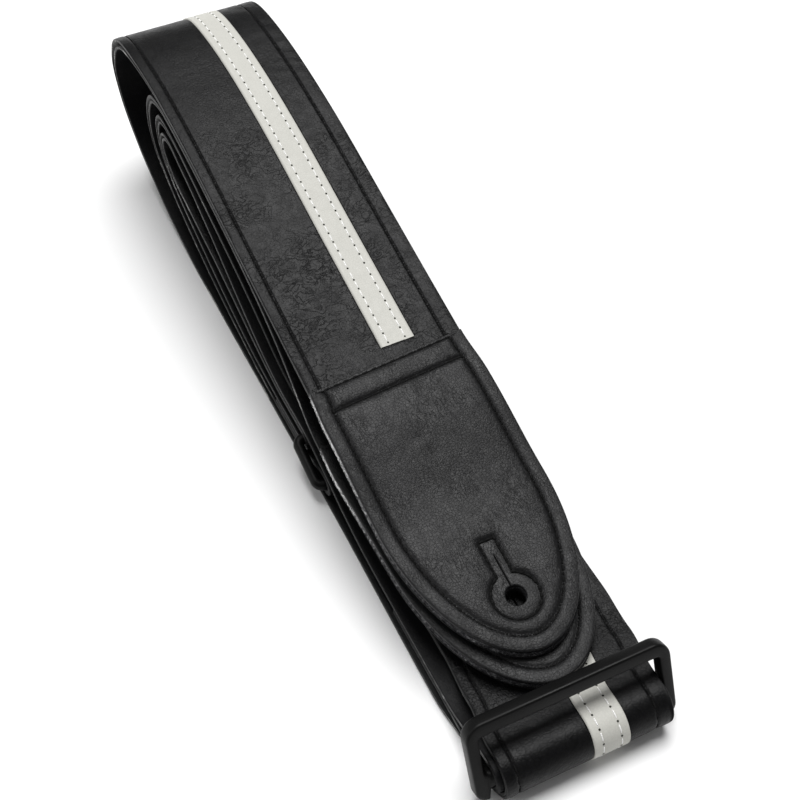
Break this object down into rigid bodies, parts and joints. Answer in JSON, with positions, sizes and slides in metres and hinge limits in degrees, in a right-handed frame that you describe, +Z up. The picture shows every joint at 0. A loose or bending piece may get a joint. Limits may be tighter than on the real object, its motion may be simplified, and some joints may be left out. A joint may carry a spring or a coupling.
{
  "type": "guitar strap",
  "caption": "Folded guitar strap: two-ply strap with an offset racing stripe, round-ended tabs with button holes, a sliding adjuster and a joining ring.",
  "frame": {"origin": "centre of the underside of the folded strap, on the surface it lies on", "axes": "+X across the strap towards the stripe's side, +Y along the strap towards the loop at the rear fold, +Z up"},
  "size_m": [0.0614, 0.2952, 0.0632],
  "materials": {
    "vinyl": "grained black vinyl with a soft sheen",
    "lining": "matt black backing ply",
    "stripe": "grained off-white vinyl",
    "stiffener": "grey fibre board with a fuzzy raw edge",
    "black_thread": "twisted polyester thread",
    "white_thread": "twisted polyester thread",
    "hardware": "satin moulded black plastic"
  },
  "bodies": {
    "strap": {"long_strap_face": "vinyl", "long_strap_lining": "lining", "long_strap_stripe": "stripe", "long_strap_hem_stitching": "black_thread", "long_strap_stripe_stitching": "white_thread", "adjuster_loop_stitching": "black_thread", "short_strap_face": "vinyl", "short_strap_lining": "lining", "short_strap_stripe": "stripe", "short_strap_hem_stitching": "black_thread", "short_strap_stripe_stitching": "white_thread", "ring_loop_stitching": "black_thread"},
    "top_run": {"top_run_face": "vinyl", "top_run_lining": "lining", "top_run_stripe": "stripe", "top_run_hem_stitching": "black_thread", "top_run_stripe_stitching": "white_thread"},
    "upper_tab": {"upper_tab_face": "vinyl", "upper_tab_stiffener": "stiffener", "upper_tab_back": "vinyl", "upper_tab_strap_end": "lining", "upper_tab_edge_stitching": "black_thread", "upper_tab_cross_stitching": "black_thread", "upper_tab_keyhole_stitching": "black_thread"},
    "lower_tab": {"lower_tab_face": "vinyl", "lower_tab_stiffener": "stiffener", "lower_tab_back": "vinyl", "lower_tab_strap_end": "lining", "lower_tab_edge_stitching": "black_thread", "lower_tab_cross_stitching": "black_thread", "lower_tab_keyhole_stitching": "black_thread"},
    "adjuster": {"adjuster_frame": "hardware"},
    "ring": {"joining_ring": "hardware"}
  },
  "joints": [
    {"name": "top_run_lift", "type": "hinge", "parent": "strap", "child": "top_run", "pos_m": [0, 0.0936, 0.061], "axis": [-1, 0, 0], "range_deg": [0, 35]},
    {"name": "upper_tab_lift", "type": "hinge", "parent": "top_run", "child": "upper_tab", "pos_m": [0, -0.0239, 0.0403], "axis": [-1, 0, 0], "range_deg": [0, 70]},
    {"name": "lower_tab_lift", "type": "hinge", "parent": "strap", "child": "lower_tab", "pos_m": [0, -0.0294, 0.021], "axis": [-1, 0, 0], "range_deg": [0, 28]},
    {"name": "adjuster_rock", "type": "hinge", "parent": "strap", "child": "adjuster", "pos_m": [0, -0.1404, 0.0072], "axis": [1, 0, 0], "range_deg": [0, 60]},
    {"name": "ring_rock", "type": "hinge", "parent": "strap", "child": "ring", "pos_m": [0, -0.0184, 0.01023], "axis": [-1, 0, 0], "range_deg": [0, 3.5]}
  ],
  "couplings": [
    {"joint": "lower_tab_lift", "follows": "upper_tab_lift", "ratio": 0.4}
  ]
}
